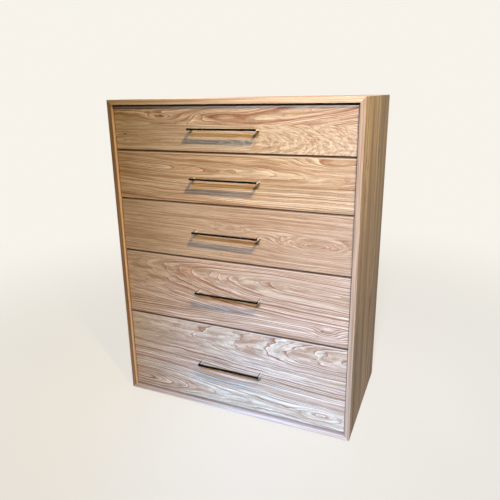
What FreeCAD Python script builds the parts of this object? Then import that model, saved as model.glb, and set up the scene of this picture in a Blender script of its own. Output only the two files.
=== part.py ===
import FreeCAD, Part
import math
import os

# Chest of five inset drawers. Millimetres, X to the right, Y to the back, Z up from the floor.
# The origin is on the floor, under the middle of the whole chest with its pulls.

Vector = FreeCAD.Vector

# Case of four mitred boards
case_width = 965.0
case_depth = 508.0
case_height = 1232.0
board_thickness = 19.0
edge_ease = 1.0

# Splines glued into the mitres, which are cut at this many degrees
mitre_angle = 45.0
spline_thickness = 4.0
spline_width = 12.0
spline_setback = 16.0

# Drawer fronts; the heights run from the top drawer down, and the last drawer takes what is left
upper_front_heights = (161.0, 186.0, 211.0, 269.0)
front_thickness = 19.0
front_recess = 12.0
front_gap = 3.0
front_side_gap = 2.0

# Back panel in a rabbet round the rear edge of the case
back_thickness = 6.0
back_inset = 2.0
rabbet_width = 10.0
rabbet_play = 0.5

# Rails behind the gaps between the fronts, housed in the sides
rail_height = 19.0
rail_depth = 64.0
rail_setback = 2.0
rail_housing = 6.0

# Drawer boxes, dovetailed at all four corners
box_thickness = 12.0
box_lift = 17.0
box_drop = 20.0
rear_clearance = 17.0
tail_spacing = 40.0
tail_width_share = 0.68
tail_slope_share = 0.14
bottom_thickness = 6.0
bottom_lift = 9.0
groove_depth = 6.0

# Telescopic slides with three captive members
slide_width = 12.7
slide_height = 45.7
slide_setback = 2.0
slide_wall = 1.2
slide_lip = 5.0
slide_bend = 1.2
slide_play = 0.35
cabinet_member_depth = 10.0
middle_web_gap = 0.8
slot_length = 12.0
slot_height = 4.4
slot_shares = (0.08, 0.42, 0.92)

# Slim square pulls
pull_centres = 256.0
pull_post_width = 8.0
pull_height = 6.5
pull_bar_depth = 8.0
pull_projection = 35.0
pull_edge_ease = 0.6

# Screws that hold the pulls, from inside the drawer
screw_radius = 2.0
screw_bite = 9.0
screw_head_radius = 4.6
screw_head_height = 2.4
screw_hole_play = 0.25
thread_play = 0.05
screw_sides = 12

# Glides under the bottom board
glide_radius = 13.0
glide_height = 3.0
glide_chamfer = 1.0
glide_inset = 42.0
glide_columns = 3
glide_sides = 24

# Every cut runs past the faces it goes through by this much
overrun = 1.0

# Points nearer than this count as one
same_place = 0.001

opening_height = case_height - 2 * board_thickness
gap_total = (len(upper_front_heights) + 2) * front_gap
last_front_height = opening_height - gap_total - sum(upper_front_heights)
front_heights = upper_front_heights + (last_front_height,)
pull_reach = pull_projection - front_recess
case_front = (pull_reach - case_depth) / 2
case_back = case_front + case_depth
case_bottom = glide_height
case_top = case_bottom + case_height
case_half = case_width / 2
inner_half = case_half - board_thickness
inner_bottom = case_bottom + board_thickness
inner_top = case_top - board_thickness

front_face = case_front + front_recess
front_rear = front_face + front_thickness
front_half = inner_half - front_side_gap
back_face = case_back - back_inset - back_thickness

box_half = inner_half - slide_width
box_front = front_rear
box_back = back_face - rear_clearance
slide_start = box_front + slide_setback
slide_end = box_back
slide_length = slide_end - slide_start


def block(x_range, y_range, z_range):
    """A box between two X, two Y and two Z values."""
    corner = Vector(x_range[0], y_range[0], z_range[0])
    size = [high - low for low, high in (x_range, y_range, z_range)]
    return Part.makeBox(size[0], size[1], size[2], corner)


def prism(points, travel):
    """A closed outline of 3-D points, pushed along a vector."""
    wire = Part.makePolygon(points + points[:1])
    return Part.Face(wire).extrude(travel)


def ring(centre, across, up, radius, sides):
    """Corners of an even polygon whose flats lie at the radius."""
    reach = radius / math.cos(math.pi / sides)
    corners = []
    for i in range(sides):
        angle = 2 * math.pi * (i + 0.5) / sides
        corners.append(centre + across * (reach * math.cos(angle)) + up * (reach * math.sin(angle)))
    return corners


def screw_rod(start, radius, length):
    """A many-sided rod that runs to the front, or to the back where its length is negative."""
    corners = ring(start, Vector(1, 0, 0), Vector(0, 0, 1), radius, screw_sides)
    return prism(corners, Vector(0, -length, 0))


def edges_on(shape, axis, value):
    """Edges whose every point has the same given coordinate."""
    found = []
    for edge in shape.Edges:
        places = [getattr(vertex.Point, axis) for vertex in edge.Vertexes]
        if all(abs(place - value) < same_place for place in places):
            found.append(edge)
    return found


def mirrored(shape):
    """The same shape on the other side of the chest."""
    return shape.mirror(Vector(0, 0, 0), Vector(1, 0, 0))


def export(name, solids):
    """Writes a node's solids to one file."""
    Part.makeCompound(solids).exportStep("parts/" + name + ".step")


def levels():
    """Bottom and top of each drawer front, from the top drawer down."""
    found = []
    top = inner_top - front_gap
    for height in front_heights:
        found.append((top - height, top))
        top -= height + front_gap
    return found


# Case

def case_envelope():
    """The outside of the case with its edges eased."""
    whole = block((-case_half, case_half), (case_front, case_back), (case_bottom, case_top))
    return whole.makeChamfer(edge_ease, whole.Edges)


def opening_ease():
    """The small bevel round the front of the opening."""
    wires = []
    for y, grow in ((case_front, edge_ease), (case_front + edge_ease, 0)):
        across = inner_half + grow
        low = inner_bottom - grow
        high = inner_top + grow
        corners = [Vector(-across, y, low), Vector(across, y, low),
                   Vector(across, y, high), Vector(-across, y, high)]
        wires.append(Part.makePolygon(corners + corners[:1]))
    return Part.makeLoft(wires, True, True)


def board_outlines():
    """Mitred section of each case board, as X and Z pairs."""
    a = (-case_half, case_top)
    b = (case_half, case_top)
    c = (case_half, case_bottom)
    d = (-case_half, case_bottom)
    inner_a = (-inner_half, inner_top)
    inner_b = (inner_half, inner_top)
    inner_c = (inner_half, inner_bottom)
    inner_d = (-inner_half, inner_bottom)
    return {
        "top_panel": (a, b, inner_b, inner_a),
        "right_panel": (b, c, inner_c, inner_b),
        "bottom_panel": (c, d, inner_d, inner_c),
        "left_panel": (d, a, inner_a, inner_d),
    }


def back_rabbet():
    """The recess that takes the back panel."""
    across = inner_half + rabbet_width
    return block((-across, across), (back_face, case_back + overrun),
                 (inner_bottom - rabbet_width, inner_top + rabbet_width))


def rails():
    """One rail behind each gap between two fronts."""
    found = []
    places = levels()
    across = inner_half + rail_housing
    start = front_rear + rail_setback
    for upper, lower in zip(places, places[1:]):
        middle = (upper[0] + lower[1]) / 2
        found.append(block((-across, across), (start, start + rail_depth),
                           (middle - rail_height / 2, middle + rail_height / 2)))
    return found


def back_panel():
    across = inner_half + rabbet_width - rabbet_play
    return block((-across, across), (back_face, back_face + back_thickness),
                 (inner_bottom - rabbet_width + rabbet_play,
                  inner_top + rabbet_width - rabbet_play))


def mitre_splines():
    """A flat strip across each mitre, along the depth of the case."""
    across = (case_half + inner_half) / 2
    found = []
    for side in (-1, 1):
        for z, tilt in ((case_top - board_thickness / 2, side),
                        (case_bottom + board_thickness / 2, -side)):
            strip = Part.makeBox(spline_width, case_depth - 2 * spline_setback, spline_thickness,
                                 Vector(-spline_width / 2, 0, -spline_thickness / 2))
            strip.rotate(Vector(0, 0, 0), Vector(0, 1, 0), mitre_angle * tilt)
            strip.translate(Vector(side * across, case_front + spline_setback, z))
            found.append(strip)
    return found


def glide_places():
    """Centres of the glides on the floor, as X and Y pairs."""
    across = case_half - glide_inset
    places = []
    for i in range(glide_columns):
        x = across * (2 * i / (glide_columns - 1) - 1)
        places += [(x, case_front + glide_inset), (x, case_back - glide_inset)]
    return places


def glide(x, y):
    """A nail-on glide: a disc on the floor, narrower where it meets it."""
    profile = ((0, glide_radius - glide_chamfer), (glide_chamfer, glide_radius),
               (glide_height, glide_radius))
    wires = []
    for z, radius in profile:
        corners = ring(Vector(x, y, z), Vector(1, 0, 0), Vector(0, 1, 0), radius, glide_sides)
        wires.append(Part.makePolygon(corners + corners[:1]))
    return Part.makeLoft(wires, True, True)


def export_case():
    envelope = case_envelope()
    ease = opening_ease()
    rabbet = back_rabbet()
    rail_bars = rails()
    splines = mitre_splines()
    for name, outline in board_outlines().items():
        corners = [Vector(x, case_front, z) for x, z in outline]
        board = prism(corners, Vector(0, case_depth, 0)).common(envelope)
        board = board.cut([ease, rabbet] + rail_bars + splines)
        export(name, board.Solids)
    export("mitre_splines", splines)
    export("back_panel", [back_panel()])
    export("drawer_rails", rail_bars)
    export("floor_glides", [glide(x, y) for x, y in glide_places()])


# Slides, drawn on the left side of the chest and mirrored to the right

def bar(half, z):
    """A slide member from the upper half of its section, as X and height pairs."""
    corners = [Vector(x, slide_start, z + up) for x, up in half]
    corners += [Vector(x, slide_start, z - up) for x, up in reversed(half)]
    return prism(corners, Vector(0, slide_length, 0))


def channel(x_range, half_height, z):
    """A rolled C channel, open towards the drawer, with lips turned in."""
    start, end = x_range
    hollow = half_height - slide_wall
    mouth = half_height - slide_lip
    return bar([(start, half_height - slide_bend), (start + slide_bend, half_height),
                (end - slide_bend, half_height), (end, half_height - slide_bend),
                (end, mouth), (end - slide_wall, mouth), (end - slide_wall, hollow),
                (start + slide_wall, hollow)], z)


def web_slots(x, z):
    """Screw slots through the web of a member that starts at x."""
    found = []
    for share in slot_shares:
        middle = slide_start + share * slide_length
        found.append(block((x - overrun, x + slide_wall + overrun),
                           (middle - slot_length / 2, middle + slot_length / 2),
                           (z - slot_height / 2, z + slot_height / 2)))
    return found


def cabinet_member(z):
    """Outermost member, screwed to the case side."""
    start = -inner_half
    body = channel((start, start + cabinet_member_depth), slide_height / 2, z)
    return body.cut(web_slots(start, z))


def middle_sizes():
    """X range and half height of the middle member."""
    start = -inner_half + slide_wall + middle_web_gap
    end = -inner_half + cabinet_member_depth - slide_wall - slide_play
    return (start, end), slide_height / 2 - slide_wall - slide_play


def middle_member(z):
    """Middle member, held inside the lips of the cabinet member."""
    x_range, half_height = middle_sizes()
    return channel(x_range, half_height, z)


def drawer_member(z):
    """Innermost member, screwed to the drawer box, hooked behind the middle lips."""
    (_, middle_end), middle_half = middle_sizes()
    web_out = -box_half
    web_in = web_out - slide_wall
    hook_out = middle_end - slide_wall - slide_play
    hook_in = hook_out - slide_wall
    flange = middle_half - slide_lip - slide_play
    hook = middle_half - slide_wall - slide_play
    inner = flange - slide_wall
    body = bar([(web_out, flange - slide_bend), (web_out - slide_bend, flange),
                (hook_out, flange), (hook_out, hook), (hook_in, hook), (hook_in, inner),
                (web_in, inner)], z)
    return body.cut(web_slots(web_in, z))


def export_slides(number, z):
    members = {"cabinet_slides": cabinet_member, "middle_slides": middle_member,
               "drawer_slides": drawer_member}
    for name, make in members.items():
        left = make(z)
        export(name + "_" + number, [left, mirrored(left)])


# Drawers

def tails(x_start, y_end, inward, z_range):
    """Dovetails on the end of a box side: wide at the end, narrow at the shoulder."""
    low, high = z_range
    count = max(2, round((high - low) / tail_spacing))
    pitch = (high - low) / count
    wide = pitch * tail_width_share / 2
    narrow = wide - box_thickness * tail_slope_share
    found = []
    for i in range(count):
        middle = low + (i + 0.5) * pitch
        shoulder = y_end + inward * box_thickness
        corners = [Vector(x_start, y_end, middle - wide), Vector(x_start, y_end, middle + wide),
                   Vector(x_start, shoulder, middle + narrow),
                   Vector(x_start, shoulder, middle - narrow)]
        found.append(prism(corners, Vector(box_thickness, 0, 0)))
    return found


def drawer_box(z_range):
    """The five pieces of a drawer box, and its front and rear boards drilled."""
    low, high = z_range
    inside = box_half - box_thickness
    panel_half = inside + groove_depth
    panel = block((-panel_half, panel_half),
                  (box_front + box_thickness - groove_depth,
                   box_back - box_thickness + groove_depth),
                  (low + bottom_lift, low + bottom_lift + bottom_thickness))
    front_tails = tails(-box_half, box_front, 1, z_range)
    rear_tails = tails(-box_half, box_back, -1, z_range)
    side = block((-box_half, -inside), (box_front + box_thickness, box_back - box_thickness),
                 z_range)
    side = side.fuse(front_tails + rear_tails).removeSplitter().cut(panel)
    ends = []
    for start, left_tails in ((box_front, front_tails), (box_back - box_thickness, rear_tails)):
        board = block((-box_half, box_half), (start, start + box_thickness), z_range)
        right_tails = [mirrored(tail) for tail in left_tails]
        ends.append(board.cut(left_tails + right_tails + [panel]))
    return side, ends[0], ends[1], panel


def pull_screw_places(z):
    """Where the two screws of a pull leave the inside of the drawer box."""
    y = box_front + box_thickness
    return [Vector(side * pull_centres / 2, y, z) for side in (-1, 1)]


def pull_screw(place):
    """A machine screw with a flat head, pointing to the front."""
    grip = box_thickness + front_thickness + screw_bite
    head = screw_rod(place, screw_head_radius, -screw_head_height)
    return head.fuse(screw_rod(place, screw_radius, grip))


def pull_screw_hole(place, play):
    """The hole that a pull's screw runs in, with play all round and at its end."""
    grip = box_thickness + front_thickness + screw_bite
    start = place + Vector(0, overrun, 0)
    return screw_rod(start, screw_radius + play, grip + play + overrun)


def drawer_front(z_range):
    """The show face of a drawer, its front edges eased."""
    board = block((-front_half, front_half), (front_face, front_rear), z_range)
    return board.makeChamfer(edge_ease, edges_on(board, "y", front_face))


def pull(z):
    """A square bar bent to two posts, seen from above as a shallow U."""
    outer = (pull_centres + pull_post_width) / 2
    inner = outer - pull_post_width
    tip = front_face - pull_projection
    bar_back = tip + pull_bar_depth
    outline = [(-outer, front_face), (-outer, tip), (outer, tip), (outer, front_face),
               (inner, front_face), (inner, bar_back), (-inner, bar_back),
               (-inner, front_face)]
    corners = [Vector(x, y, z - pull_height / 2) for x, y in outline]
    body = prism(corners, Vector(0, 0, pull_height))
    seat = edges_on(body, "y", front_face)
    eased = [edge for edge in body.Edges
             if not any(edge.isSame(other) for other in seat)]
    return body.makeChamfer(pull_edge_ease, eased)


def export_drawer(number, front_range):
    front_low, front_high = front_range
    box_range = (front_low + box_lift, front_high - box_drop)
    pull_z = (front_low + front_high) / 2
    places = pull_screw_places(pull_z)
    holes = [pull_screw_hole(place, screw_hole_play) for place in places]
    threads = [pull_screw_hole(place, thread_play) for place in places]
    side, front_end, rear_end, panel = drawer_box(box_range)
    export("drawer_front_" + number, [drawer_front(front_range).cut(holes)])
    export("box_sides_" + number, [side, mirrored(side)])
    export("box_front_" + number, [front_end.cut(holes)])
    export("box_back_" + number, [rear_end])
    export("box_bottom_" + number, [panel])
    export("pull_" + number, [pull(pull_z).cut(threads)])
    export("pull_screws_" + number, [pull_screw(place) for place in places])
    export_slides(number, (box_range[0] + box_range[1]) / 2)


os.makedirs("parts", exist_ok=True)
export_case()
for index, front_range in enumerate(levels()):
    export_drawer(str(index + 1), front_range)
print("case height", case_height, "slide length", slide_length)
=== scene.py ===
import math

import bmesh
import bpy
from mathutils import Matrix, Vector


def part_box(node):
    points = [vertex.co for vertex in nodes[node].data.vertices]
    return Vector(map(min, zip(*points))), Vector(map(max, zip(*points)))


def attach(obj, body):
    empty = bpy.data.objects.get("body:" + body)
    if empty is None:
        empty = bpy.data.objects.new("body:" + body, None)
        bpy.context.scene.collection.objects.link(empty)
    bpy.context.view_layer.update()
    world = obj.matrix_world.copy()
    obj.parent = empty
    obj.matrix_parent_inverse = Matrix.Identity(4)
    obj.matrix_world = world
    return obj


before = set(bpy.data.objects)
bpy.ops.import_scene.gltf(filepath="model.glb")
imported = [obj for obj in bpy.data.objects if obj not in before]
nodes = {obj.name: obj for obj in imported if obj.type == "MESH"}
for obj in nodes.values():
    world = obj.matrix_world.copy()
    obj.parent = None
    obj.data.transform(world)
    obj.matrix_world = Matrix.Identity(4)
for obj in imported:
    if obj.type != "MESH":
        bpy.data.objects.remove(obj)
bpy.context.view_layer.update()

# Metres, X to the right, Y to the back, Z up, as in the CAD frame. Colours are linear.
DRAWERS = (1, 2, 3, 4, 5)

# Camera, with its angles in radians and its lens and sensor in millimetres
CAMERA_PLACE = Vector((0.75284, -1.78696, 1.24843))
CAMERA_YAW = -0.413
CAMERA_PITCH = -0.291
CAMERA_ROLL = -0.018
SENSOR_WIDTH = 36.0
LENS = 35.18
SHIFT = (0.010, -0.020)

# Light and ground
BACKGROUND = (0.930, 0.896, 0.823)
FLOOR_COLOUR = (0.54, 0.49, 0.42)
FLOOR_RADIUS = 14.0
FLOOR_SEGMENTS = 96
FLOOR_ROUGHNESS = 0.9
# Distances from the middle where the floor starts and ends to fade into the background, and
# the background's share in what seen rays show there.
FLOOR_FADE = (0.9, 3.0)
FLOOR_GLOW = (0.80, 1.0)
AMBIENT = 0.04
AMBIENT_COLOUR = (1.0, 0.93, 0.86)
# Round area lamps, with their spread in degrees and their power in watts. The key is warm and
# from above on the right, and gives the pulls their shadows. The fill is cool and from the
# camera's side, and the foot and the toe cool the lowest drawers. The window lights the left
# side, the flank the right side and the rear the back.
LAMPS = {
    "key": {"place": (1.25, -1.38, 2.80), "target": (-0.10, -0.2, 0.53), "size": 0.10,
            "spread": 50.0, "power": 5.75, "colour": (1.0, 0.66, 0.285)},
    "fill": {"place": (0.80, -4.20, 3.90), "target": (0.71, -0.2, 0.45), "size": 0.40,
             "spread": 28.5, "power": 13.8, "colour": (0.485, 0.565, 0.82)},
    "foot": {"place": (0.80, -4.20, 3.90), "target": (0.76, -0.2, 0.17), "size": 0.40,
             "spread": 21.5, "power": 1.35, "colour": (0.22, 0.46, 1.0)},
    "toe": {"place": (0.80, -4.20, 3.90), "target": (0.05, -0.2, -0.15), "size": 0.40,
            "spread": 12.2, "power": 2.0, "colour": (0.11, 0.42, 1.0)},
    "window": {"place": (-6.00, -1.17, 2.40), "target": (0.0, -0.2, 0.60), "size": 0.50,
               "spread": 180.0, "power": 12.0, "colour": (1.0, 0.62, 0.50)},
    "flank": {"place": (1.70, -0.25, 2.00), "target": (0.48, -0.12, 1.30), "size": 0.50,
              "spread": 64.0, "power": 2.1, "colour": (0.95, 0.90, 0.70)},
    "rear": {"place": (-2.20, 3.20, 2.60), "target": (0.0, 0.3, 0.60), "size": 1.20,
             "spread": 180.0, "power": 60.0, "colour": (1.0, 0.93, 0.84)},
}


# Materials

# Outputs of the Texture Coordinate node: the surface's own direction, and its place at rest.
NORMAL = 1
OBJECT = 3


def opaque(colour):
    """A colour as a socket takes it: another socket, or three numbers and a full alpha."""
    return colour if isinstance(colour, bpy.types.NodeSocket) else (*colour, 1.0)


class Nodes:
    """Short ways to add nodes to one tree."""

    def __init__(self, tree):
        self.tree = tree

    def put(self, kind, inputs=(), output=0, **settings):
        """Adds a node, sets or links its inputs, and returns one of its outputs."""
        node = self.tree.nodes.new(kind)
        for key, value in settings.items():
            setattr(node, key, value)
        pairs = inputs.items() if isinstance(inputs, dict) else enumerate(inputs)
        for key, value in pairs:
            self.set(node.inputs[key], value)
        return node.outputs[output]

    def set(self, socket, value):
        """Links a socket to another one, or gives it a plain value."""
        if isinstance(value, bpy.types.NodeSocket):
            self.tree.links.new(value, socket)
        else:
            socket.default_value = value

    def all_of(self, kind, value):
        """Every output of a node that takes one value apart."""
        node = self.tree.nodes.new(kind)
        self.set(node.inputs[0], value)
        return list(node.outputs)

    def math(self, operation, *values, clamp=False):
        return self.put("ShaderNodeMath", values, operation=operation, use_clamp=clamp)

    def add(self, a, b):
        return self.math("ADD", a, b)

    def less(self, a, b):
        return self.math("SUBTRACT", a, b)

    def times(self, a, b):
        return self.math("MULTIPLY", a, b)

    def absolute(self, value):
        return self.math("ABSOLUTE", value)

    def centred(self, noise):
        """Noise around 0, not around a half."""
        return self.less(noise, 0.5)

    def noise(self, vector, scale=1.0, detail=2.0, roughness=0.5, output=0):
        return self.put("ShaderNodeTexNoise", {
            "Vector": vector, "Scale": scale, "Detail": detail, "Roughness": roughness}, output)

    def noise_line(self, value):
        """Noise along one number."""
        return self.put("ShaderNodeTexNoise", {
            "W": value, "Scale": 1.0, "Detail": 1.0, "Roughness": 0.5}, noise_dimensions="1D")

    def stretched(self, places, scales, detail, roughness, seed=0.0, output=0):
        """Noise pulled out along a board, with a scale of its own for each direction."""
        x, y, z = [self.times(place, scale) for place, scale in zip(places, scales)]
        vector = self.put("ShaderNodeCombineXYZ", (x, y, self.add(z, seed)))
        return self.noise(vector, 1.0, detail, roughness, output)

    def step(self, value, low, high, start=0.0, end=1.0):
        """A smooth step from start to end as value goes from low to high."""
        return self.put("ShaderNodeMapRange", {
            "Value": value, "From Min": low, "From Max": high, "To Min": start, "To Max": end},
            interpolation_type="SMOOTHSTEP")

    def mix(self, share, a, b, blend="MIX"):
        """Two colours mixed, each of them a socket or three numbers."""
        node = self.tree.nodes.new("ShaderNodeMix")
        node.data_type = "RGBA"
        node.blend_type = blend
        self.set(node.inputs["Factor"], share)
        for key, value in (("A", a), ("B", b)):
            socket = next(s for s in node.inputs if s.name == key and s.type == "RGBA")
            self.set(socket, opaque(value))
        return next(s for s in node.outputs if s.type == "RGBA")

    def tinted(self, colour, red, green, blue):
        """A colour with each channel times its own number."""
        tint = self.put("ShaderNodeCombineColor", (red, green, blue))
        return self.mix(1.0, colour, tint, "MULTIPLY")


class Shader(Nodes):
    """One material and its nodes."""

    def __init__(self, name):
        self.material = bpy.data.materials.new(name)
        self.material.use_nodes = True
        super().__init__(self.material.node_tree)
        self.surface = next(n for n in self.tree.nodes if n.type == "BSDF_PRINCIPLED")

    def finish(self, colour, roughness, **sockets):
        """Fills in the surface's colour, roughness and any other sockets."""
        self.set(self.surface.inputs["Base Color"], opaque(colour))
        self.set(self.surface.inputs["Roughness"], roughness)
        for key, value in sockets.items():
            self.set(self.surface.inputs[key.replace("_", " ")], value)
        return self.material

    def bump(self, height, depth, strength):
        """The surface's direction with a relief of that depth in metres."""
        return self.put("ShaderNodeBump", {
            "Strength": strength, "Distance": depth, "Height": height})


# The axes along the grain, across it and into the board: X, Y and Z for upright boards with
# the grain along that axis, T for level ones and B for the back.
GRAIN_AXES = {"X": (0, 2, 1), "Y": (1, 2, 0), "Z": (2, 1, 0), "T": (0, 1, 2), "B": (2, 0, 1)}


def board_places(shader, along, centre=(0.0, 0.0, 0.0)):
    """Object coordinates as distances along the grain, across it and into the board."""
    place = shader.all_of("ShaderNodeSeparateXYZ",
                          shader.put("ShaderNodeTexCoord", output=OBJECT))
    return [shader.less(place[axis], centre[axis]) for axis in GRAIN_AXES[along]]


def face_normal(shader):
    """The three parts of the surface's own direction."""
    return shader.all_of("ShaderNodeSeparateXYZ",
                         shader.put("ShaderNodeTexCoord", output=NORMAL))


def hump(shader, u, v, place, reach):
    """A round hill: 1 at its place, near 0 beyond its reach along and across the grain."""
    x = shader.math("DIVIDE", shader.less(u, place[0]), reach[0])
    y = shader.math("DIVIDE", shader.less(v, place[1]), reach[1])
    square = shader.add(shader.times(x, x), shader.times(y, y))
    return shader.math("EXPONENT", shader.times(square, -1.0))


# Noises of the wood: scales along, across and into the board, then detail and roughness.
SLOW_WAVE = ((3.0, 9.0, 1.0), 1.5, 0.45)
QUICK_WAVE = ((14.0, 30.0, 30.0), 2.5, 0.55)
FIBRE = ((14.0, 420.0, 420.0), 3.0, 0.6)
PORES = ((90.0, 1300.0, 1300.0), 1.0, 0.5)
EDGE_GRAIN = ((2.2, 130.0, 130.0), 3.0, 0.65)
PALE_GRAIN = ((5.0, 90.0, 90.0), 4.0, 0.6)
PALE_FIBRE = ((30.0, 900.0, 900.0), 2.0, 0.6)
# Detail and roughness of the noises whose scales come with the figure, and the scale of the
# close grain along a board.
CLOUD_NOISE = (2.0, 0.5)
GRAIN_NOISE = (3.0, 0.65)
GRAIN_ALONG = 2.6

# How much of the depth of the heart shows in the run of a growth line along the board, how
# much of the jag goes across it, and a length that keeps the growth finite at the heart.
LENGTHWISE = 0.18
JAG_ACROSS = 0.4
HEART_CORE = 0.001


def rings(shader, u, v, w, figure):
    """Distance from the heart of the log, how fast it grows along the face, and v with waves."""
    seed = figure["seed"]
    slow = shader.all_of("ShaderNodeSeparateColor",
                         shader.stretched((u, v, w), *SLOW_WAVE, seed, output=1))
    quick = shader.all_of("ShaderNodeSeparateColor",
                          shader.stretched((u, v, w), *QUICK_WAVE, seed, output=1))
    wave, jag = 2 * figure["wave"], 2 * figure["jag"]
    across = shader.add(v, shader.times(shader.centred(slow[0]), wave))
    across = shader.add(across, shader.times(shader.centred(quick[0]), JAG_ACROSS * jag))
    deep = shader.add(w, shader.times(shader.centred(slow[1]), wave))
    deep = shader.add(deep, shader.times(shader.centred(quick[1]), jag))
    turn = shader.math("TANH", shader.math("DIVIDE", shader.less(u, figure["turn"]),
                                           figure["reach"]))
    depth = shader.less(figure["depth"], shader.times(turn, figure["swing"]))
    axis = shader.add(figure["heart"], shader.times(u, figure["lean"]))
    if "bend" in figure:
        start, slope = figure["bend"]
        past = shader.math("MAXIMUM", shader.less(u, start), 0.0)
        axis = shader.add(axis, shader.times(past, slope))
    a = shader.less(across, axis)
    above, below = figure["flare"]
    a = shader.add(shader.times(shader.math("MAXIMUM", a, 0.0), above),
                   shader.times(shader.math("MINIMUM", a, 0.0), below))
    b = shader.add(deep, depth)
    distance = shader.math("SQRT", shader.add(shader.times(a, a), shader.times(b, b)))
    run = shader.times(b, LENGTHWISE)
    rise = shader.math("SQRT", shader.add(shader.times(a, a), shader.times(run, run)))
    growth = shader.math("DIVIDE", rise, shader.add(distance, HEART_CORE))
    for place, reach, size in figure.get("swirls", ()):
        distance = shader.add(distance, shader.times(hump(shader, u, across, place, reach), size))
    return distance, growth, across


# What is left of the lines and flames on the quiet left part of a board.
QUIET = 0.35
# How far the fibre frays a growth line, in metres.
FRAY = 0.0012
# How fast the width of the rings changes from one to the next, and by how much.
UNEVEN_RATE = 0.55
UNEVEN = 1.8
# How fast the weight of the lines changes, and its step.
WEIGHT_RATE = 0.80
WEIGHT_STEP = (0.36, 0.60, 0.30, 1.0)
FLAME_STEP = (0.42, 0.62)
# Where in a ring the dark early line is full and where it starts to fade, and how far from the
# ring's end the pale late wood starts and is full, as shares of the ring.
EARLY_FULL = 0.12
EARLY_FADES = 0.15
LATE_STARTS = 0.55
LATE_FULL = 0.08
CLOUD_STEP = (0.3, 0.7)
GRAIN_STEP = (0.34, 0.66)
PORE_STEP = (0.54, 0.66)
# Fewer pores are open outside the early wood.
EARLY_PORES = (0.1, 0.7, 0.3, 1.0)
STREAK_STEP = (0.28, 0.72, 0.82, 1.18)
KNOT_STEP = (0.25, 0.75)
KNOT_SHARE = 0.7


def oak_face(shader, u, v, w, figure, tone):
    """Colour of one plain-sawn board, how open its pores are, and its fibre."""
    seed = figure["seed"]
    distance, growth, across = rings(shader, u, v, w, figure)
    thin = shader.math("POWER", growth, figure["thinning"])
    fibre = shader.stretched((u, across, w), *FIBRE)
    frayed = shader.add(distance, shader.times(shader.centred(fibre), FRAY))
    count = shader.math("DIVIDE", frayed, figure["spacing"])

    def from_ring_to_ring(rate, shift):
        """Noise that changes from ring to ring; its shift sets it apart from the others."""
        return shader.noise_line(shader.add(shader.times(count, rate), seed + shift))

    uneven = from_ring_to_ring(UNEVEN_RATE, 0.0)
    ring = shader.math("FRACT", shader.add(count, shader.times(uneven, UNEVEN)))
    strength = figure["strength"]
    if "quiet" in figure:
        strength = shader.step(u, *figure["quiet"], QUIET * strength, strength)
    weight = shader.times(shader.step(from_ring_to_ring(WEIGHT_RATE, 5.0), *WEIGHT_STEP),
                          strength)
    flames = shader.times(shader.step(from_ring_to_ring(figure["flames"], 7.0), *FLAME_STEP),
                          strength)
    start = shader.step(ring, 0.0, shader.times(thin, EARLY_FULL))
    early = shader.times(start, shader.step(ring, shader.times(thin, figure["fade"]),
                                            shader.times(thin, EARLY_FADES)))
    late = shader.step(ring, shader.less(1.0, shader.times(thin, LATE_STARTS)),
                       shader.less(1.0, shader.times(thin, LATE_FULL)))
    colour = shader.mix(shader.times(flames, tone["flame_share"]), tone["light"], tone["flame"])
    colour = shader.mix(shader.times(late, shader.times(weight, tone["pale_share"])), colour,
                        tone["pale"])
    lines = shader.times(early, weight)
    colour = shader.mix(shader.times(lines, tone["line_share"]), colour, tone["line"])
    long, wide = figure["cloud"]
    cloud = shader.stretched((u, v, w), (long, wide, wide), *CLOUD_NOISE, seed)
    colour = shader.tinted(colour, *(shader.step(cloud, *CLOUD_STEP, *ends)
                                     for ends in tone["cloud"]))
    close, rough = figure["grain"]
    grain = shader.stretched((u, across, distance), (GRAIN_ALONG, close, rough), *GRAIN_NOISE)
    colour = shader.tinted(colour, *(shader.step(grain, *GRAIN_STEP, *ends)
                                     for ends in tone["grain"]))
    pores = shader.step(shader.stretched((u, v, w), *PORES), *PORE_STEP)
    pores = shader.times(pores, shader.step(early, *EARLY_PORES))
    colour = shader.mix(shader.times(pores, tone["pore_share"]), colour, tone["pore"])
    streak = shader.step(fibre, *STREAK_STEP)
    colour = shader.tinted(colour, streak, streak, streak)
    for place, reach in figure.get("knots", ()):
        dark = shader.step(hump(shader, u, v, place, reach), *KNOT_STEP)
        colour = shader.mix(shader.times(dark, KNOT_SHARE), colour, tone["knot_and_shade"])
    for place, reach, share in figure.get("streaks", ()):
        stain = shader.times(hump(shader, u, across, place, reach), share)
        colour = shader.mix(stain, colour, tone["streak"])
    return colour, pores, fibre


# How high the fibre stands, as a share of how deep the pores are.
FIBRE_RISE = 0.5


def relief(shader, fibre, pores, depth, strength):
    """Raised fibre with sunken pores."""
    height = shader.less(shader.times(fibre, FIBRE_RISE), pores)
    return shader.bump(height, depth, strength)


# The range of the fibre's noise over which a surface goes from its smoothest to its roughest.
FIBRE_RANGE = (0.2, 0.8)
OAK_ROUGHNESS = (0.50, 0.66)
OAK_SPECULAR = 0.22
# Each relief is its depth in metres and its strength.
OAK_RELIEF = (0.00012, 0.35)
# Half the width of the line where two boards are glued.
GLUE_LINE = 0.0003
# Steps on how far a face looks outward: from the broad face to the edges, and from them to
# the inner face.
EDGE_STEP = (0.9, 0.5)
INNER_STEP = (-0.5, -0.9)
# The rims of a drawer front, as distances from its edges: where the painted shade ends and
# begins, and where the painted highlight below the top edge begins and ends.
TOP_RIM = (0.0034, 0.0023)
BOTTOM_RIM = (0.0018, 0.0010)
END_RIM = (0.0026, 0.0014)
RIM_HIGHLIGHT_START = (0.0030, 0.0042)
RIM_HIGHLIGHT_END = (0.0084, 0.0066)
RIM_HIGHLIGHT_SHARE = 0.8
RIM_WANDER = 0.0006
ARRIS_SHADE = 0.94
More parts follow.
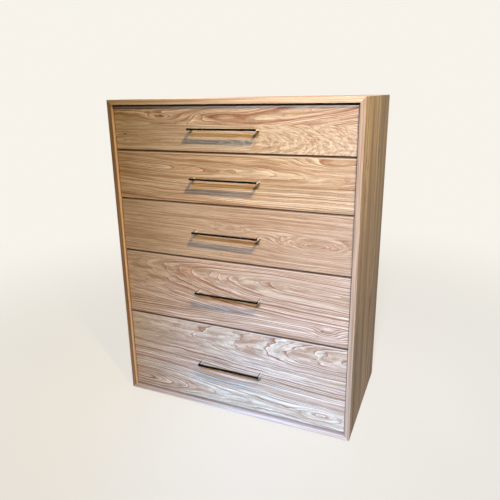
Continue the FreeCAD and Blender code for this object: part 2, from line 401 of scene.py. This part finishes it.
# Steps on how far a face looks up or down, and sideways, and how dark it is painted there:
# painted shade on the faces that show in the gaps.
LONG_EDGE = (0.90, 0.98, 0.0, 0.90)
END_EDGE = (0.90, 0.98, 0.0, 0.50)


def paint_edges(shader, colour, places, tone, edges):
    """A board's edges and inner face, each with a colour of its own and close grain."""
    axis, outward, edge_base, inner_base = edges
    facing = shader.times(face_normal(shader)[axis], outward)
    grain = shader.stretched(places, *EDGE_GRAIN)
    close = shader.mix(shader.step(facing, *INNER_STEP), edge_base, inner_base)
    close = shader.tinted(close, *(shader.step(grain, *GRAIN_STEP, *ends)
                                   for ends in tone["grain"]))
    return shader.mix(shader.step(facing, *EDGE_STEP), colour, close)


def paint_arris(shader, colour, places, fibre, tone, arris):
    """A drawer front's edges and rims with painted shade, and a painted highlight below its top
    edge.
    """
    u, v, _ = places
    half_length, half_height = arris
    normal = face_normal(shader)
    from_top = shader.less(half_height, shader.add(v, shader.times(fibre, RIM_WANDER)))
    # A painted highlight: a pale line just below the top edge.
    rim_highlight = shader.times(shader.step(from_top, *RIM_HIGHLIGHT_START), shader.step(from_top, *RIM_HIGHLIGHT_END))
    colour = shader.mix(shader.times(rim_highlight, RIM_HIGHLIGHT_SHARE), colour, tone["pale"])
    # Painted shade: dark rims along the edges, and dark top, bottom and end faces that show in the
    # gaps.
    low_rim = shader.step(v, *(edge - half_height for edge in BOTTOM_RIM))
    end_rim = shader.step(shader.absolute(u), *(half_length - edge for edge in END_RIM))
    dark = shader.add(shader.step(from_top, *TOP_RIM), low_rim)
    dark = shader.math("ADD", dark, end_rim, clamp=True)
    edges = shader.add(shader.step(shader.absolute(normal[2]), *LONG_EDGE),
                       shader.step(shader.absolute(normal[0]), *END_EDGE))
    shade = shader.math("MAXIMUM", shader.times(dark, ARRIS_SHADE), edges)
    shade = shader.math("MINIMUM", shade, ARRIS_SHADE)
    # The painted shade takes the knots' dark colour.
    return shader.mix(shade, colour, tone["knot_and_shade"])


def oak(name, boards, tone, along="X", centre=(0.0, 0.0, 0.0), edges=None, arris=None):
    """Plain-sawn oak of one or more boards, from the top down, edge-glued at each one's low.

    edges is (axis, outward, edge_base, inner_base) for a board whose broad face looks outward
    along that one of the object's own axes. arris is the half length and half height of a
    drawer front: its edges get painted shade, with a painted highlight below the top one.
    """
    shader = Shader(name)
    places = board_places(shader, along, centre)
    colour, pores, fibre = oak_face(shader, *places, boards[0], tone)
    for upper, lower in zip(boards, boards[1:]):
        below = shader.step(places[1], upper["low"] + GLUE_LINE, upper["low"] - GLUE_LINE)
        low_colour, low_pores, _ = oak_face(shader, *places, lower, tone)
        colour = shader.mix(below, colour, low_colour)
        pores = shader.add(shader.times(pores, shader.less(1.0, below)),
                           shader.times(low_pores, below))
    if edges is not None:
        colour = paint_edges(shader, colour, places, tone, edges)
    if arris is not None:
        colour = paint_arris(shader, colour, places, fibre, tone, arris)
    return shader.finish(colour, shader.step(fibre, *FIBRE_RANGE, *OAK_ROUGHNESS),
                         Specular_IOR_Level=OAK_SPECULAR,
                         Normal=relief(shader, fibre, pores, *OAK_RELIEF))


# The colours of a board as shares of its mean colour.
TONE_SHARES = {
    "light": (1.17, 1.22, 1.26), "flame": (1.00, 0.87, 0.81), "line": (0.68, 0.42, 0.34),
    "pale": (1.40, 1.58, 1.80), "pore": (0.32, 0.24, 0.19), "knot_and_shade": (0.20, 0.15, 0.13),
    "streak": (0.48, 0.46, 0.44)}
# How far clouds and grain lower and raise each channel, and how strongly each colour shows.
TONE_STRENGTHS = {
    "cloud": ((0.95, 1.05), (0.93, 1.06), (0.90, 1.09)),
    "grain": ((0.77, 1.23), (0.69, 1.30), (0.62, 1.37)),
    "flame_share": 0.9, "line_share": 1.0, "pale_share": 0.85, "pore_share": 0.5}


def tone(base, lines=1.0):
    """The colours of one board; lines is how far they stand off its mean colour."""
    colours = {name: tuple(c * (1 + (s - 1) * lines) for c, s in zip(base, shares))
               for name, shares in TONE_SHARES.items()}
    return colours | TONE_STRENGTHS


# Mean colour of each drawer front, and how far its lines stand off it.
FRONT_BASES = {1: (0.565, 0.438, 0.276), 2: (0.530, 0.397, 0.230), 3: (0.497, 0.365, 0.224),
               4: (0.522, 0.402, 0.268), 5: (0.536, 0.438, 0.300)}
FRONT_LINES = {1: 1.05, 2: 1.0, 3: 0.8, 4: 1.0, 5: 1.05}
# The side panels' oak is painted darker than the fronts' as painted shade, and the rails share
# that tone.
SIDE_BASE = (0.297, 0.205, 0.100)
SIDE_CLOUD = ((0.68, 1.30), (0.64, 1.34), (0.58, 1.40))
# Edges and inner face of each panel of the case. The same oak is painted lighter on the top
# panel's front edge and the left panel's inner face, and darker on the left panel's front edge,
# as painted light and shade.
SIDE_EDGES = {"left": (0.378, 0.240, 0.135), "right": (0.485, 0.358, 0.234)}
SIDE_INNER = {"left": (0.72, 0.52, 0.33), "right": (0.50, 0.31, 0.15)}
LEVEL_EDGES = {"top": (0.81, 0.635, 0.43), "bottom": (0.66, 0.54, 0.42)}
LEVEL_INNER = {"top": (0.56, 0.37, 0.22), "bottom": (0.34, 0.27, 0.22)}
TONES = {number: tone(base, FRONT_LINES[number]) for number, base in FRONT_BASES.items()}
SHADED_OLIVE = tone(SIDE_BASE, 0.9) | {"cloud": SIDE_CLOUD}
LEVEL = tone((0.570, 0.375, 0.225), 0.9)
SPLINE = tone(LEVEL_EDGES["top"], 0.6)
BACK = tone((0.54, 0.385, 0.245), 0.7)
BOTTOM = tone((0.66, 0.49, 0.31), 0.55)

# The figure of one board. heart is where the log's heart runs across the board, tilted by
# lean, and depth is how far behind the face: less by swing past turn, and more before it.
# flare scales the distances above and below the heart, and wave and jag are the sizes of the
# slow and the quick waves. thinning says how much narrower the lines are where a ring meets
# the face at a flat angle, fade how far a line runs out into its ring, and flames how often
# the rings change tint. cloud and grain are scales of noise, and low is the lower edge of a
# board with another one below it.
FIGURE = {"lean": 0.0, "flare": (1.0, 1.0), "turn": 0.0, "reach": 0.45, "wave": 0.009,
          "jag": 0.0035, "spacing": 0.0080, "strength": 1.0, "cloud": (2.0, 9.0),
          "thinning": 0.55, "fade": 0.85, "flames": 0.23, "grain": (50.0, 125.0)}
FIGURES = {
    1: ({"seed": 11.0, "heart": 0.024, "lean": 0.02, "bend": (0.06, 0.15), "flare": (1.0, 1.2),
         "depth": 0.026, "swing": 0.034, "turn": 0.10, "reach": 0.34, "wave": 0.013,
         "jag": 0.007, "spacing": 0.0105, "strength": 0.85, "fade": 0.75, "flames": 0.42,
         "low": 0.015,
         "swirls": (((-0.255, 0.043), (0.080, 0.013), 0.022),
                    ((-0.02, 0.048), (0.11, 0.016), -0.020)),
         "knots": (((-0.256, 0.045), (0.008, 0.0045)),),
         "streaks": (((-0.29, 0.0125), (0.17, 0.0035), 0.8),
                     ((-0.06, 0.0160), (0.10, 0.0030), 0.5))},
        {"seed": 13.0, "heart": -0.048, "lean": -0.01, "flare": (1.0, 1.0), "depth": 0.078,
         "swing": -0.090, "turn": 0.30, "reach": 0.30, "wave": 0.008, "jag": 0.006,
         "spacing": 0.0062, "thinning": 0.75, "fade": 0.6, "strength": 0.38,
         "quiet": (0.08, 0.32), "grain": (95.0, 260.0),
         "knots": (((-0.419, -0.022), (0.010, 0.003)),)}),
    2: ({"seed": 23.0, "heart": 0.030, "lean": -0.03, "flare": (1.1, 1.1), "depth": 0.024,
         "swing": -0.030, "turn": 0.05, "reach": 0.45, "wave": 0.012, "jag": 0.006,
         "spacing": 0.0072, "fade": 0.60, "flames": 0.35,
         "swirls": (((0.38, 0.066), (0.12, 0.016), 0.022),),
         "streaks": (((0.27, -0.012), (0.22, 0.0016), 0.55),
                     ((0.33, -0.031), (0.20, 0.0018), 0.60),
                     ((0.29, -0.047), (0.21, 0.0016), 0.50),
                     ((-0.32, 0.046), (0.15, 0.0016), 0.45),
                     ((-0.30, 0.002), (0.16, 0.0020), 0.45))},),
    3: ({"seed": 31.0, "heart": 0.13, "lean": -0.02, "flare": (1.0, 1.0), "depth": 0.03,
         "swing": -0.010, "spacing": 0.0060, "wave": 0.007, "strength": 0.55,
         "quiet": (-0.10, 0.06), "flames": 0.5, "grain": (95.0, 260.0),
         "swirls": (((0.335, -0.018), (0.155, 0.030), -0.070),
                    ((0.01, 0.018), (0.085, 0.018), -0.030)),
         "knots": (((-0.380, 0.043), (0.005, 0.003)),)},),
    4: ({"seed": 47.0, "heart": 0.077, "lean": -0.04, "flare": (1.9, 0.80), "depth": 0.045,
         "swing": 0.068, "turn": -0.02, "reach": 0.40, "wave": 0.008, "jag": 0.005,
         "spacing": 0.0072, "fade": 0.55, "flames": 0.35, "thinning": 0.65,
         "quiet": (-0.34, -0.20), "low": -0.066},
        {"seed": 49.0, "heart": -0.19, "lean": 0.02, "flare": (1.0, 1.0), "depth": 0.02,
         "swing": 0.01, "turn": 0.10, "spacing": 0.0080, "wave": 0.016, "jag": 0.004,
         "fade": 0.65, "flames": 0.35,
         "swirls": (((0.385, -0.095), (0.055, 0.030), 0.028),),
         "knots": (((0.366, -0.084), (0.007, 0.0045)),)}),
    5: ({"seed": 59.0, "heart": 0.108, "lean": 0.0, "flare": (0.50, 1.20), "depth": 0.055,
         "swing": 0.055, "turn": 0.20, "reach": 0.36, "wave": 0.010, "jag": 0.0085,
         "spacing": 0.0085, "fade": 0.70, "flames": 0.75, "thinning": 0.85,
         "quiet": (-0.34, -0.16), "low": 0.012},
        {"seed": 61.0, "heart": -0.142, "lean": -0.03, "flare": (1.0, 1.2), "depth": 0.030,
         "swing": -0.040, "turn": -0.25, "reach": 0.30, "wave": 0.012, "jag": 0.005,
         "spacing": 0.0085, "fade": 0.65, "flames": 0.35,
         "swirls": (((0.37, -0.122), (0.080, 0.020), -0.034),)}),
}

# The width of a veneer leaf on the back and on the drawers' bottoms, and its figure.
BACK_LEAF = 0.238
BOTTOM_LEAF = 0.225
VENEER = {"heart": 0.0, "lean": 0.03, "depth": 0.055, "swing": 0.035, "turn": 0.55,
          "reach": 0.60, "wave": 0.012, "jag": 0.004, "spacing": 0.0085, "strength": 0.7}
# Boards of the top and bottom panels, and of the side panels, from the back to the front.
LEVEL_BOARDS = (
    {"seed": 0.0, "heart": 0.35, "depth": 0.03, "swing": 0.01, "wave": 0.010,
     "spacing": 0.0085, "cloud": (0.8, 16.0), "low": 0.118},
    {"seed": 20.0, "heart": 0.052, "depth": 0.045, "swing": 0.035, "turn": 0.08, "reach": 0.45,
     "wave": 0.011, "jag": 0.006, "spacing": 0.0080, "fade": 0.65, "low": -0.012},
    {"seed": 40.0, "heart": -0.26, "depth": 0.03, "swing": 0.01, "wave": 0.012,
     "spacing": 0.0075, "cloud": (0.9, 18.0), "low": -0.131},
    {"seed": 60.0, "heart": -0.190, "depth": 0.040, "swing": -0.030, "turn": -0.1,
     "reach": 0.50, "wave": 0.011, "spacing": 0.0085, "fade": 0.65},
)
SIDE_BOARDS = (
    {"seed": 0.0, "heart": 0.33, "depth": 0.03, "swing": 0.01, "wave": 0.012,
     "spacing": 0.0085, "cloud": (0.8, 16.0), "low": 0.128},
    {"seed": 20.0, "heart": 0.062, "depth": 0.050, "swing": 0.030, "turn": 0.05, "reach": 0.55,
     "wave": 0.012, "spacing": 0.0080, "cloud": (0.7, 14.0), "low": 0.006},
    {"seed": 40.0, "heart": -0.21, "depth": 0.03, "swing": 0.01, "wave": 0.014,
     "spacing": 0.0090, "cloud": (0.9, 18.0), "low": -0.121},
    {"seed": 60.0, "heart": -0.185, "depth": 0.048, "swing": -0.030, "turn": -0.1,
     "reach": 0.60, "wave": 0.012, "spacing": 0.0085, "cloud": (0.7, 14.0)},
)
# The straight grain of the splines and rails.
STRAIGHT = ({"seed": 0.0, "heart": 0.9, "depth": 0.20, "swing": 0.02, "reach": 0.5,
             "wave": 0.010, "lean": 0.015, "spacing": 0.0075},)


PALE_WOOD = ((0.80, 0.66, 0.47), (0.66, 0.49, 0.31))
PALE_GRAIN_STEP = (0.35, 0.68)
PALE_STREAK_STEP = (0.3, 0.7, 0.94, 1.05)
PALE_ROUGHNESS = (0.38, 0.52)
PALE_RELIEF = (0.00008, 0.3)


def pale_wood(name, along, seed):
    """Plain pale hardwood of the drawer boxes, clear lacquered."""
    shader = Shader(name)
    places = board_places(shader, along)
    grain = shader.stretched(places, *PALE_GRAIN, seed)
    fibre = shader.stretched(places, *PALE_FIBRE)
    colour = shader.mix(shader.step(grain, *PALE_GRAIN_STEP), *PALE_WOOD)
    streak = shader.step(fibre, *PALE_STREAK_STEP)
    colour = shader.tinted(colour, streak, streak, streak)
    return shader.finish(colour, shader.step(fibre, *FIBRE_RANGE, *PALE_ROUGHNESS),
                         Normal=shader.bump(fibre, *PALE_RELIEF))


# Distances from a seam between two leaves at which it begins and is full, and its share.
SEAM = (0.0006, 0.0001)
SEAM_SHARE = 0.45
# Layers in each metre of thickness, and the colour and share of every other one.
LAYER_RATE = 1200.0
LAYER_STEP = (0.3, 0.7)
LAYER_COLOUR = (0.34, 0.21, 0.11)
LAYER_SHARE = 0.5
# The step on how far the surface faces along the sheet's thickness, from face to edge.
SHEET_EDGE_STEP = (0.8, 0.4)
VENEER_ROUGHNESS = (0.46, 0.60)
VENEER_SPECULAR = 0.3
VENEER_RELIEF = (0.00008, 0.3)


def veneer(name, along, leaf, seed, tone):
    """Book-matched veneer leaves on a thin sheet, and the sheet's layers on its edges."""
    shader = Shader(name)
    u, v, w = board_places(shader, along)
    leaf_v = shader.less(shader.math("PINGPONG", shader.add(v, leaf / 2), leaf), leaf / 2)
    colour, pores, fibre = oak_face(shader, u, leaf_v, w, FIGURE | VENEER | {"seed": seed}, tone)
    seam = shader.step(shader.absolute(leaf_v), *(leaf / 2 - gap for gap in SEAM))
    colour = shader.mix(shader.times(seam, SEAM_SHARE), colour, tone["line"])
    layers = shader.step(shader.math("PINGPONG", shader.times(w, LAYER_RATE), 1.0), *LAYER_STEP)
    facing = face_normal(shader)[GRAIN_AXES[along][2]]
    edge = shader.step(shader.absolute(facing), *SHEET_EDGE_STEP)
    colour = shader.mix(shader.times(edge, shader.times(layers, LAYER_SHARE)), colour,
                        LAYER_COLOUR)
    return shader.finish(colour, shader.step(fibre, *FIBRE_RANGE, *VENEER_ROUGHNESS),
                         Specular_IOR_Level=VENEER_SPECULAR,
                         Normal=relief(shader, fibre, pores, *VENEER_RELIEF))


# Where a pull's posts stand to either side of its middle, and where their tops get a painted
# highlight: behind the bar, softened over a short way, and to the right of each post's own
# middle.
POST_PLACE = 0.128
POST_START = -0.2570
POST_SOFT = 0.0006
HIGHLIGHT_HALF = (0.0002, 0.0012)
FACING_STEP = (0.75, 0.9)
# The dark plate's colours, and the colour of the painted highlight.
PULL_DARK = ((0.009, 0.009, 0.008), (0.020, 0.019, 0.017))
PULL_HIGHLIGHT = (0.90, 0.90, 0.88)
HIGHLIGHT_METALLIC = 0.45
# Scale, detail and roughness of the smears, and the stretched scale of the brush marks.
SMEAR = (60.0, 3.0, 0.6)
BRUSH_MARKS = (40.0, 2500.0, 2500.0)
# How much rougher the painted highlight is, and the step from smears to roughness.
HIGHLIGHT_ROUGHER = 0.35
PULL_ROUGHNESS = (0.3, 1.1, 0.16, 0.42)
PULL_RELIEF = (0.00003, 0.2)


def pull_metal():
    """Dark polished plate, with a painted highlight on the posts' sides and the right of their
    tops.
    """
    shader = Shader("dark_nickel")
    place = shader.put("ShaderNodeTexCoord", output=OBJECT)
    x, y, _ = shader.all_of("ShaderNodeSeparateXYZ", place)
    normal = face_normal(shader)
    # Painted highlight: the posts' sides, and the right of their tops behind the bar.
    side = shader.step(shader.absolute(normal[0]), *FACING_STEP)
    off_centre = shader.less(x, shader.times(shader.math("SIGN", x), POST_PLACE))
    top = shader.times(shader.step(normal[2], *FACING_STEP), shader.step(off_centre, *HIGHLIGHT_HALF))
    top = shader.times(top, shader.step(y, POST_START - POST_SOFT, POST_START))
    post_highlight = shader.math("MAXIMUM", side, top)
    smear = shader.noise(place, *SMEAR)
    brushed = shader.noise(shader.put("ShaderNodeMapping", {
        "Vector": place, "Scale": BRUSH_MARKS}))
    colour = shader.mix(post_highlight, shader.mix(smear, *PULL_DARK), PULL_HIGHLIGHT)
    rough = shader.add(smear, shader.times(post_highlight, HIGHLIGHT_ROUGHER))
    return shader.finish(colour, shader.step(rough, *PULL_ROUGHNESS),
                         Metallic=shader.step(post_highlight, 0.0, 1.0, 1.0, HIGHLIGHT_METALLIC),
                         Normal=shader.bump(brushed, *PULL_RELIEF))


# Colour and least roughness of each zinc.
ZINC_SLIDE = ((0.46, 0.465, 0.475), 0.30)
ZINC_SCREW = ((0.52, 0.52, 0.54), 0.28)
ZINC_HEAD = ((0.50, 0.50, 0.52), 0.30)
# Scale, detail and roughness of the blotches, the stretched scale of the rolled grain, and
# the share of the colour and the added roughness in the duller blotches.
BLOTCH = (45.0, 3.0, 0.6)
ROLLED_GRAIN = (900.0, 12.0, 900.0)
DULL_STEP = (0.35, 0.65)
ROUGH_STEP = (0.3, 0.7)
ZINC_DULL = 0.93
ZINC_ROUGHER = 0.14
ZINC_RELIEF = (0.00003, 0.25)


def zinc(name, colour, roughness):
    """Zinc-plated steel with a fine rolled grain and faint blotches."""
    shader = Shader(name)
    place = shader.put("ShaderNodeTexCoord", output=OBJECT)
    blotch = shader.noise(place, *BLOTCH)
    rolled = shader.noise(shader.put("ShaderNodeMapping", {
        "Vector": place, "Scale": ROLLED_GRAIN}))
    dull = [ZINC_DULL * c for c in colour]
    tint = shader.mix(shader.step(blotch, *DULL_STEP), colour, dull)
    rough = shader.step(blotch, *ROUGH_STEP, roughness, roughness + ZINC_ROUGHER)
    return shader.finish(tint, rough, Metallic=1.0, Normal=shader.bump(rolled, *ZINC_RELIEF))


NYLON = ((0.028, 0.026, 0.024), (0.045, 0.042, 0.038))
NYLON_GRAIN = 900.0
NYLON_ROUGHNESS = (0.3, 0.7, 0.45, 0.6)
NYLON_RELIEF = (0.00005, 0.3)


def nylon():
    """Moulded dark nylon with a fine grain."""
    shader = Shader("nylon")
    grain = shader.noise(shader.put("ShaderNodeTexCoord", output=OBJECT), NYLON_GRAIN)
    return shader.finish(shader.mix(grain, *NYLON), shader.step(grain, *NYLON_ROUGHNESS),
                         Normal=shader.bump(grain, *NYLON_RELIEF))


def paint(node, material):
    mesh = nodes[node].data
    mesh.materials.clear()
    mesh.materials.append(material)


def middle(node):
    low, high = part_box(node)
    return (low + high) / 2


def cut_boards(boards, seed):
    """The boards of one panel, each with every value of its figure."""
    return [FIGURE | board | {"seed": seed + board["seed"]} for board in boards]


def paint_case():
    for side, outward, seed in (("left", -1.0, 3.0), ("right", 1.0, 5.0)):
        panel = side + "_panel"
        edges = (0, outward, SIDE_EDGES[side], SIDE_INNER[side])
        paint(panel, oak("oak_" + side, cut_boards(SIDE_BOARDS, seed), SHADED_OLIVE, "Z",
                         middle(panel), edges))
    for level, outward, seed in (("top", 1.0, 7.0), ("bottom", -1.0, 9.0)):
        panel = level + "_panel"
        edges = (2, outward, LEVEL_EDGES[level], LEVEL_INNER[level])
        paint(panel, oak("oak_" + level, cut_boards(LEVEL_BOARDS, seed), LEVEL, "T",
                         middle(panel), edges))
    paint("mitre_splines", oak("oak_spline", cut_boards(STRAIGHT, 13.0), SPLINE, "T"))
    paint("drawer_rails", oak("oak_rail", cut_boards(STRAIGHT, 17.0), SHADED_OLIVE, "X"))
    paint("back_panel", veneer("veneer_back", "B", BACK_LEAF, 71.0, BACK))
    paint("floor_glides", nylon())


def paint_drawers():
    steel = zinc("zinc_slide", *ZINC_SLIDE)
    screw = zinc("zinc_screw", *ZINC_SCREW)
    ends = pale_wood("pale_wood_ends", "X", 2.0)
    parts = {"box_front": ends, "box_back": ends,
             "box_sides": pale_wood("pale_wood_sides", "Y", 4.0),
             "box_bottom": veneer("veneer_bottom", "T", BOTTOM_LEAF, 83.0, BOTTOM),
             "pull": pull_metal(), "pull_screws": screw,
             "cabinet_slides": steel, "middle_slides": steel, "drawer_slides": steel}
    for number in DRAWERS:
        front = "drawer_front_%d" % number
        low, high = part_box(front)
        centre = (0.0, low.y, (low.z + high.z) / 2)
        arris = ((high.x - low.x) / 2, (high.z - low.z) / 2)
        boards = [FIGURE | board for board in FIGURES[number]]
        paint(front, oak("oak_front_%d" % number, boards, TONES[number], "X", centre,
                         arris=arris))
        for part, material in parts.items():
            paint("%s_%d" % (part, number), material)


# Small fasteners

SCREW_SIDES = 20
# The outline of a pan head, as shares of its radius and height, from its rim to its flat.
HEAD_PROFILE = ((1.0, 0.0), (0.97, 0.35), (0.82, 0.75), (0.56, 1.0))
# The cross recess, as shares of the head's radius, and its floor's size and height as shares
# of the mouth's and the head's.
CROSS_ARM = 0.42
CROSS_HALF_WIDTH = 0.11
CROSS_FLOOR = (0.72, 0.35)
# How far each head is turned from the one before it, in radians.
HEAD_TURN = 0.9
# Radius and height of the back panel's screw heads, how far they are from its edges, and
# where they stand up its sides and along its top and bottom, as shares of it.
BACK_SCREW = (0.0032, 0.0014)
BACK_SCREW_INSET = 0.0055
BACK_SCREW_RISE = (0.02, 0.26, 0.5, 0.74, 0.98)
BACK_SCREW_RUN = (0.27, 0.5, 0.73)
# Radius and height of the slides' screw heads, the x of the webs that they lie on, and where
# they stand along the drawer members, as shares of them.
SLIDE_SCREW = (0.0034, 0.0016)
SLIDE_WEB = 0.4520
SLIDE_SCREW_RUN = (0.08, 0.42, 0.92)


def head_ring(builder, turn, points, height):
    return [builder.verts.new(turn @ Vector((x, y, height))) for x, y in points]


def bridge(builder, outer, inner):
    count = len(outer)
    for i in range(count):
        following = (i + 1) % count
        builder.faces.new((outer[i], outer[following], inner[following], inner[i]))


def ring_edges(builder, ring):
    pairs = zip(ring, ring[1:] + ring[:1])
    return [builder.edges.get(pair) or builder.edges.new(pair) for pair in pairs]


def screw_head(builder, turn, radius, height):
    """A pan head with a cross recess, its flat side outward."""
    steps = [2 * math.pi * i / SCREW_SIDES for i in range(SCREW_SIDES)]
    circle = [(math.cos(step), math.sin(step)) for step in steps]
    rings_made = []
    for wide, tall in HEAD_PROFILE:
        points = [(radius * wide * x, radius * wide * y) for x, y in circle]
        rings_made.append(head_ring(builder, turn, points, height * tall))
    for lower, upper in zip(rings_made, rings_made[1:]):
        bridge(builder, lower, upper)
    arm, half = radius * CROSS_ARM, radius * CROSS_HALF_WIDTH
    quarter = [(arm, -half), (arm, half), (half, half)]
    cross = []
    for _ in range(4):
        cross += quarter
        quarter = [(-y, x) for x, y in quarter]
    mouth = head_ring(builder, turn, cross, height)
    share, depth = CROSS_FLOOR
    floor = head_ring(builder, turn, [(share * x, share * y) for x, y in cross], height * depth)
    bridge(builder, mouth, floor)
    builder.faces.new(floor)
    edges = ring_edges(builder, rings_made[-1]) + ring_edges(builder, mouth)
    bmesh.ops.triangle_fill(builder, use_beauty=True, edges=edges)


def screw_heads(name, places, size, material, body):
    """Several screw heads as one piece; each place is a point and the way that it faces."""
    mesh = bpy.data.meshes.new(name)
    builder = bmesh.new()
    for i, (point, outward) in enumerate(places):
        facing = outward.to_track_quat("Z", "Y").to_matrix().to_4x4()
        spin = Matrix.Rotation(HEAD_TURN * i, 4, "Z")
        screw_head(builder, Matrix.Translation(point) @ facing @ spin, *size)
    bmesh.ops.recalc_face_normals(builder, faces=builder.faces)
    builder.to_mesh(mesh)
    builder.free()
    mesh.materials.append(material)
    piece = bpy.data.objects.new(name, mesh)
    bpy.context.scene.collection.objects.link(piece)
    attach(piece, body)


def add_screws():
    steel = zinc("zinc_head", *ZINC_HEAD)
    low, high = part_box("back_panel")
    near_x = (low.x + BACK_SCREW_INSET, high.x - BACK_SCREW_INSET)
    near_z = (low.z + BACK_SCREW_INSET, high.z - BACK_SCREW_INSET)
    points = [Vector((x, high.y, low.z + share * (high.z - low.z)))
              for x in near_x for share in BACK_SCREW_RISE]
    points += [Vector((low.x + share * (high.x - low.x), high.y, z))
               for z in near_z for share in BACK_SCREW_RUN]
    back = Vector((0.0, 1.0, 0.0))
    screw_heads("back_screw_heads", [(point, back) for point in points], BACK_SCREW, steel,
                "case")
    for number in DRAWERS:
        low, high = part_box("drawer_slides_%d" % number)
        z = (low.z + high.z) / 2
        places = []
        for side in (-1, 1):
            for share in SLIDE_SCREW_RUN:
                point = Vector((side * SLIDE_WEB, low.y + share * (high.y - low.y), z))
                places.append((point, Vector((side, 0.0, 0.0))))
        screw_heads("slide_screw_heads_%d" % number, places, SLIDE_SCREW, steel,
                    "drawer_%d" % number)


# Stage

def aim(thing, target):
    thing.rotation_mode = "QUATERNION"
    thing.rotation_quaternion = (target - thing.location).to_track_quat("-Z", "Y")


def lamp(name, settings):
    light = bpy.data.lights.new(name, "AREA")
    light.shape = "DISK"
    light.size = settings["size"]
    light.energy = settings["power"]
    light.color = settings["colour"]
    light.spread = math.radians(settings["spread"])
    thing = bpy.data.objects.new(name, light)
    bpy.context.scene.collection.objects.link(thing)
    thing.location = settings["place"]
    aim(thing, Vector(settings["target"]))
    thing.visible_camera = False


def seen_ray(shader):
    """1 for rays that show the background: from the camera, or off gloss and through glass."""
    path = shader.tree.nodes.new("ShaderNodeLightPath")
    seen = shader.add(path.outputs["Is Camera Ray"], path.outputs["Is Glossy Ray"])
    return shader.math("ADD", seen, path.outputs["Is Transmission Ray"], clamp=True)


def make_world():
    """Faint light from all sides, and a backdrop that only seen rays meet."""
    world = bpy.data.worlds.new("studio")
    bpy.context.scene.world = world
    world.use_nodes = True
    world.node_tree.nodes.clear()
    sky = Nodes(world.node_tree)
    ambient, backdrop = [
        sky.put("ShaderNodeBackground", {"Color": opaque(colour), "Strength": strength})
        for colour, strength in ((AMBIENT_COLOUR, AMBIENT), (BACKGROUND, 1.0))]
    mixed = sky.put("ShaderNodeMixShader", (seen_ray(sky), ambient, backdrop))
    output = sky.tree.nodes.new("ShaderNodeOutputWorld")
    sky.set(output.inputs[0], mixed)


def make_floor():
    """A pale disc that keeps the chest's shadow and fades into the background far away."""
    mesh = bpy.data.meshes.new("floor")
    builder = bmesh.new()
    bmesh.ops.create_circle(builder, cap_ends=True, radius=FLOOR_RADIUS,
                            segments=FLOOR_SEGMENTS)
    builder.to_mesh(mesh)
    builder.free()
    floor = bpy.data.objects.new("floor", mesh)
    bpy.context.scene.collection.objects.link(floor)
    shader = Shader("floor")
    place = shader.put("ShaderNodeTexCoord", output=OBJECT)
    distance = shader.put("ShaderNodeVectorMath", (place,), output=1, operation="LENGTH")
    far = shader.step(distance, *FLOOR_FADE, *FLOOR_GLOW)
    shader.finish(FLOOR_COLOUR, FLOOR_ROUGHNESS)
    glow = shader.put("ShaderNodeEmission", {"Color": opaque(BACKGROUND)})
    mixed = shader.put("ShaderNodeMixShader", (
        shader.times(far, seen_ray(shader)), shader.surface.outputs[0], glow))
    output = next(n for n in shader.tree.nodes if n.type == "OUTPUT_MATERIAL")
    shader.set(output.inputs[0], mixed)
    mesh.materials.append(shader.material)


def make_camera():
    yaw, pitch, roll = CAMERA_YAW, CAMERA_PITCH, CAMERA_ROLL
    forward = Vector((math.sin(yaw) * math.cos(pitch), math.cos(yaw) * math.cos(pitch),
                      math.sin(pitch)))
    level = Vector((math.cos(yaw), -math.sin(yaw), 0.0))
    upright = level.cross(forward)
    right = math.cos(roll) * level + math.sin(roll) * upright
    up = math.cos(roll) * upright - math.sin(roll) * level
    data = bpy.data.cameras.new("camera")
    data.sensor_width = SENSOR_WIDTH
    data.lens = LENS
    data.shift_x, data.shift_y = SHIFT
    camera = bpy.data.objects.new("camera", data)
    bpy.context.scene.collection.objects.link(camera)
    turn = Matrix((right, up, -forward)).transposed()
    camera.matrix_world = Matrix.Translation(CAMERA_PLACE) @ turn.to_4x4()
    bpy.context.scene.camera = camera


paint_case()
paint_drawers()
add_screws()
make_world()
make_floor()
make_camera()
for name, settings in LAMPS.items():
    lamp(name, settings)
bpy.context.scene.view_settings.view_transform = "Standard"
